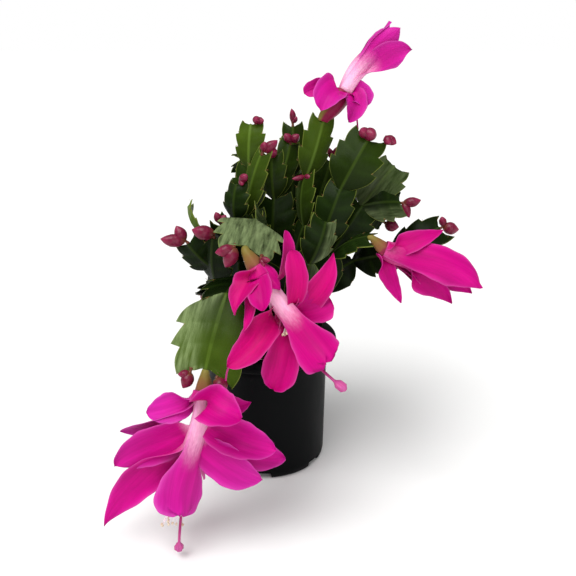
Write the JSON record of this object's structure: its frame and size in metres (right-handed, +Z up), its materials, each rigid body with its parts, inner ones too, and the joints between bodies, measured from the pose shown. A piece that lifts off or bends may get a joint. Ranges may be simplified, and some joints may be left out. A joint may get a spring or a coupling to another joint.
{
  "type": "potted christmas cactus",
  "caption": "Holiday cactus in bloom: flat toothed stem segments, hanging tiered flowers and bud clusters, growing in a small round nursery pot of compost.",
  "frame": {"origin": "centre of the pot's flat foot, on the surface that the pot stands on", "axes": "+Z up along the pot's axis; -Y is the side that the front flowers face; +X is to their left, seen from behind them"},
  "size_m": [0.171, 0.176, 0.2247],
  "materials": {
    "pot": "satin",
    "soil": "matte",
    "leaf": "satin",
    "ovary": "satin",
    "petal": "satin",
    "bud": "gloss"
  },
  "bodies": {
    "root": {"soil": "soil", "pot": "pot", "buds_01_left_high": "bud", "buds_02_left_high": "bud", "buds_03_behind": "bud", "buds_04_centre": "bud", "buds_05_centre": "bud", "buds_06_left": "bud", "buds_07_behind": "bud", "buds_08_right_high": "bud", "buds_09_right_high": "bud", "buds_10_right": "bud", "buds_11_right": "bud", "buds_12_low_right": "bud", "buds_13_low_left": "bud", "buds_14_low_left": "bud", "buds_15_left": "bud", "buds_16_drooping": "bud", "buds_17_drooping": "bud", "buds_18_trailing": "bud", "buds_19_trailing": "bud", "buds_20_back_1": "bud", "buds_21_back_2": "bud", "buds_22_back_3": "bud", "buds_23_back_4": "bud", "buds_24_back_5": "bud", "flower_low_corolla": "petal", "flower_low_ovary": "ovary", "flower_middle_corolla": "petal", "flower_middle_ovary": "ovary", "flower_right_corolla": "petal", "flower_right_ovary": "ovary", "flower_top_corolla": "petal", "flower_top_ovary": "ovary", "stem_back_1": "leaf", "stem_back_2": "leaf", "stem_back_3": "leaf", "stem_back_4": "leaf", "stem_back_5": "leaf", "stem_behind": "leaf", "stem_centre": "leaf", "stem_crown": "leaf", "stem_drooping": "leaf", "stem_front_short": "leaf", "stem_left": "leaf", "stem_left_high": "leaf", "stem_low_left": "leaf", "stem_low_right": "leaf", "stem_reaching": "leaf", "stem_right": "leaf", "stem_right_high": "leaf", "stem_trailing": "leaf"}
  },
  "joints": []
}
